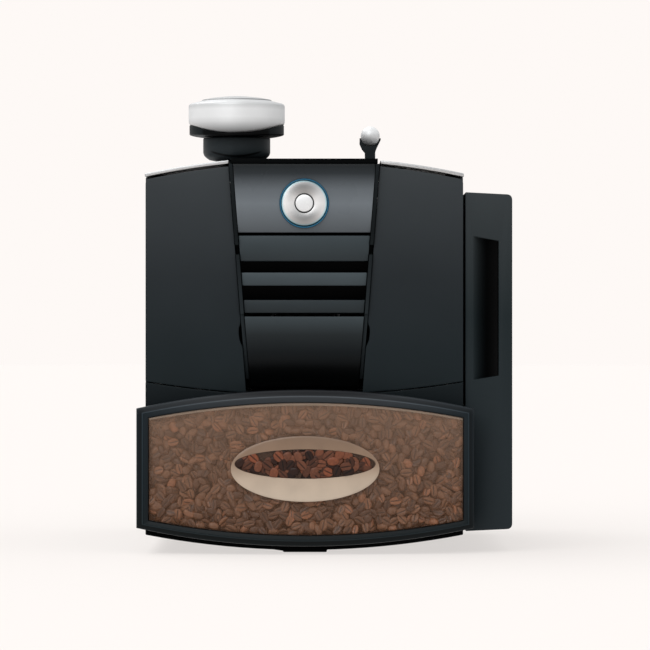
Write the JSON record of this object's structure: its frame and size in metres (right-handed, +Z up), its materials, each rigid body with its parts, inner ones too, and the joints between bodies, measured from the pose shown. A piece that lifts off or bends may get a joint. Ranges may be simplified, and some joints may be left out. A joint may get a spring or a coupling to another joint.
{
  "type": "hot coffee vending machine",
  "caption": "Countertop bean-to-cup hot coffee machine with a side water tank, a bean-display door over the cup bay, a lowering spout, a drip drawer, a dial, a knob and a lever.",
  "frame": {"origin": "On the standing surface, in the middle of the machine's overall outline.", "axes": "+Z is up, -Y is the front with the dial and the display door, +X is to the right as seen from the front, where the water tank hangs."},
  "size_m": [0.3082, 0.4, 0.3791],
  "materials": {
    "anthracite_plastic": "satin anthracite moulding with a very fine texture",
    "black_gloss_plastic": "piano black, lightly polished",
    "black_matte_plastic": "matt black moulding with a fine spark-eroded grain",
    "grey_gloss_plastic": "dark grey lacquer with a soft metallic sheen",
    "blue_black_plastic": "blue-black satin moulding",
    "tank_plastic": "opaque anthracite tank moulding",
    "smoked_plastic": "smoked moulding, polished inside",
    "grey_plastic": "glass-filled grey moulding",
    "satin_aluminium": "satin anodised",
    "bright_metal": "satin chrome",
    "brushed_metal": "fine brushing, turned on round pieces",
    "zinc_steel": "zinc-plated pressing",
    "pump_brass": "machined brass",
    "burr_ceramic": "sintered ceramic, unglazed",
    "board_laminate": "green laminate with solder mask",
    "glow_ring": "lit light guide",
    "float_red": "red moulding",
    "foot_rubber": "black rubber",
    "roasted_bean": "packed roasted coffee beans",
    "clear_window": "clear curved pane",
    "cream_enamel": "cream inlay with a soft gloss"
  },
  "bodies": {
    "machine_body": {"base_pan": "black_matte_plastic", "foot_1": "foot_rubber", "foot_2": "foot_rubber", "foot_3": "foot_rubber", "foot_4": "foot_rubber", "side_cover_left": "anthracite_plastic", "side_cover_right": "anthracite_plastic", "rear_cover": "black_matte_plastic", "roof_left": "satin_aluminium", "roof_right": "satin_aluminium", "roof_centre": "black_gloss_plastic", "front_panel_left": "anthracite_plastic", "front_panel_right": "anthracite_plastic", "apron_left": "anthracite_plastic", "apron_right": "anthracite_plastic", "chassis_frame": "zinc_steel", "column_frame": "black_gloss_plastic", "control_fascia": "grey_gloss_plastic", "light_ring": "glow_ring", "louvre_upper": "grey_gloss_plastic", "louvre_middle": "grey_gloss_plastic", "louvre_lower": "grey_gloss_plastic", "bay_liner": "black_matte_plastic", "water_nozzle": "brushed_metal", "knob_collar": "black_gloss_plastic", "bean_hopper": "smoked_plastic", "grinder_housing": "grey_plastic", "grinder_motor": "zinc_steel", "ring_burr": "burr_ceramic", "brew_cylinder": "grey_plastic", "thermoblock": "satin_aluminium", "water_pump": "pump_brass", "control_board": "board_laminate", "power_inlet": "black_matte_plastic"},
    "drawer": {"drawer_front": "black_matte_plastic", "drip_tray": "black_matte_plastic", "grounds_container": "grey_plastic", "door_hinge_pin": "zinc_steel"},
    "door": {"door_frame": "blue_black_plastic", "door_window": "clear_window", "bean_fill": "roasted_bean", "door_backplate": "black_matte_plastic", "medallion": "cream_enamel"},
    "grille": {"drip_grille": "brushed_metal"},
    "float": {"drip_float": "float_red"},
    "spout": {"spout_cover": "grey_gloss_plastic", "spout_block": "black_matte_plastic"},
    "selector": {"selector_ring": "brushed_metal"},
    "button": {"select_button": "bright_metal"},
    "knob": {"knob_cap": "bright_metal", "knob_skirt": "black_gloss_plastic"},
    "lever": {"lever_arm": "black_gloss_plastic", "lever_ball": "bright_metal"},
    "tank": {"tank_shell": "tank_plastic", "tank_grip_panel": "tank_plastic"},
    "tank_cover": {"tank_lid": "tank_plastic"},
    "hopper_cover": {"hopper_lid": "black_gloss_plastic"},
    "rocker": {"power_rocker": "black_gloss_plastic"},
    "burr": {"cone_burr": "zinc_steel"},
    "piston": {"brew_piston": "grey_plastic"}
  },
  "joints": [
    {"name": "drawer_slide", "type": "slide", "parent": "machine_body", "child": "drawer", "axis": [0, -1, 0], "range_m": [0, 0.16]},
    {"name": "door_swing", "type": "hinge", "parent": "drawer", "child": "door", "pos_m": [-0.1493, -0.1835, 0.07], "axis": [0, 0, -1], "range_deg": [0, 100]},
    {"name": "grille_lift", "type": "slide", "parent": "drawer", "child": "grille", "axis": [0, 0, 1], "range_m": [0, 0.03]},
    {"name": "float_rise", "type": "slide", "parent": "drawer", "child": "float", "axis": [0, 0, 1], "range_m": [0, 0.006]},
    {"name": "spout_height", "type": "slide", "parent": "machine_body", "child": "spout", "axis": [0, 0, -1], "range_m": [0, 0.04]},
    {"name": "selector_turn", "type": "hinge", "parent": "machine_body", "child": "selector", "pos_m": [-0.017, -0.176, 0.2868], "axis": [0, -1, 0], "continuous": true},
    {"name": "button_press", "type": "slide", "parent": "machine_body", "child": "button", "axis": [0, 1, 0], "range_m": [0, 0.002], "stiffness_N_per_m": 500, "springref_m": -0.001},
    {"name": "knob_turn", "type": "hinge", "parent": "machine_body", "child": "knob", "pos_m": [-0.0742, -0.1, 0.35], "axis": [0, 0, 1], "range_deg": [0, 120]},
    {"name": "lever_tilt", "type": "hinge", "parent": "machine_body", "child": "lever", "pos_m": [0.038, -0.1, 0.312], "axis": [1, 0, 0], "range_deg": [-20, 20]},
    {"name": "tank_lift", "type": "slide", "parent": "machine_body", "child": "tank", "axis": [0, 0, 1], "range_m": [0, 0.12]},
    {"name": "tank_lid_open", "type": "hinge", "parent": "tank", "child": "tank_cover", "pos_m": [0.135, 0.112, 0.2887], "axis": [-1, 0, 0], "range_deg": [0, 95]},
    {"name": "hopper_lid_open", "type": "hinge", "parent": "machine_body", "child": "hopper_cover", "pos_m": [-0.017, 0.11, 0.3232], "axis": [-1, 0, 0], "range_deg": [0, 95]},
    {"name": "rocker_tilt", "type": "hinge", "parent": "machine_body", "child": "rocker", "pos_m": [-0.07, 0.192, 0.046], "axis": [1, 0, 0], "range_deg": [-7, 7]},
    {"name": "burr_spin", "type": "hinge", "parent": "machine_body", "child": "burr", "pos_m": [-0.017, 0.041, 0.23], "axis": [0, 0, 1], "continuous": true},
    {"name": "piston_stroke", "type": "slide", "parent": "machine_body", "child": "piston", "axis": [0, 0, 1], "range_m": [0, 0.03]}
  ]
}
